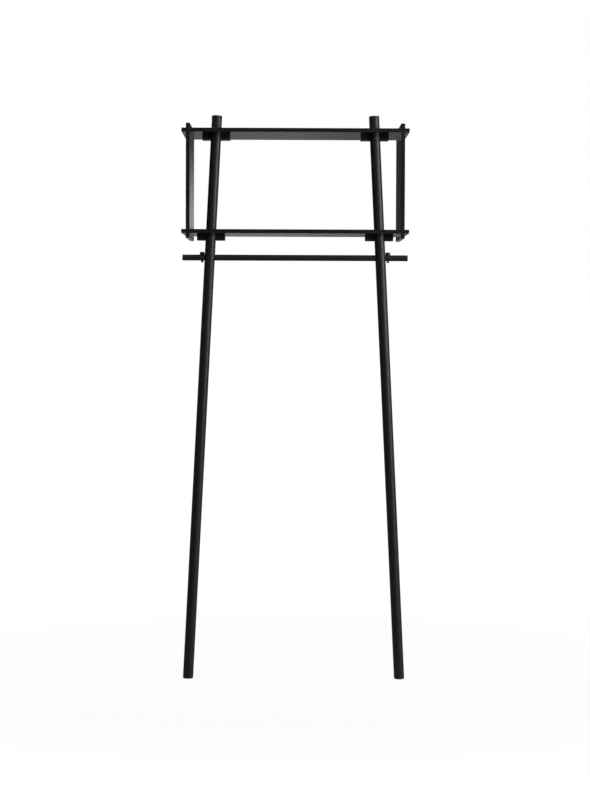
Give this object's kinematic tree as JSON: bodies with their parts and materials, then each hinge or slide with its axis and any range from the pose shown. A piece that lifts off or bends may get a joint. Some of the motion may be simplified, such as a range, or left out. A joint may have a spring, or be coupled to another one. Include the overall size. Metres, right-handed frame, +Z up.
{
  "type": "kimono stand",
  "caption": "Slim wall-leaning clothes stand: splayed round legs carry an open box of lap-jointed boards and a hanging rod fixed by locking pins.",
  "frame": {"origin": "on the floor, in the middle of the stand's bounding box", "axes": "+Z up, +X along the shelves to the viewer's right when facing the stand, +Y from the front towards the wall"},
  "size_m": [0.684, 0.3542, 1.6928],
  "materials": {
    "board_lacquer": "satin black lacquer over fine-grained board, softly reflective, edges worn a little lighter",
    "leg_stain": "black-stained turned wood with open grain along the pole and a narrow satin sheen",
    "block_stain": "black-stained solid wood, satin, grain across the block's width",
    "rod_stain": "black-stained turned wood, satin, grain along the rod",
    "pin_black": "black-coated steel, satin",
    "steel_black": "black-coated steel, satin",
    "steel_zinc": "zinc-plated steel, slightly dull",
    "insert_brass": "plain turned brass, slightly dull",
    "pad_rubber": "matt black rubber"
  },
  "bodies": {
    "stand": {"top_shelf": "board_lacquer", "bottom_shelf": "board_lacquer", "left_side_panel": "board_lacquer", "right_side_panel": "board_lacquer", "left_upper_leg": "leg_stain", "right_upper_leg": "leg_stain", "left_lower_leg": "leg_stain", "right_lower_leg": "leg_stain", "left_leg_stud": "steel_zinc", "right_leg_stud": "steel_zinc", "left_stud_sleeve": "insert_brass", "right_stud_sleeve": "insert_brass", "top_left_block": "block_stain", "top_right_block": "block_stain", "bottom_left_block": "block_stain", "bottom_right_block": "block_stain", "block_screws": "steel_zinc", "leg_bolts": "steel_black", "leg_inserts": "insert_brass", "left_foot_pad": "pad_rubber", "right_foot_pad": "pad_rubber", "left_wall_bracket": "steel_black", "right_wall_bracket": "steel_black", "bracket_screws": "steel_black"},
    "rod": {"hanging_rod": "rod_stain"},
    "left_pin": {"left_locking_pin": "pin_black"},
    "right_pin": {"right_locking_pin": "pin_black"}
  },
  "joints": [
    {"name": "rod_turn", "type": "hinge", "parent": "stand", "child": "rod", "pos_m": [0, -0.11744, 1.265], "axis": [1, 0, 0], "range_deg": [-140, 140]},
    {"name": "left_pin_lift", "type": "slide", "parent": "rod", "child": "left_pin", "axis": [0, 0, 1], "range_m": [0, 0.024]},
    {"name": "right_pin_lift", "type": "slide", "parent": "rod", "child": "right_pin", "axis": [0, 0, 1], "range_m": [0, 0.024]}
  ]
}
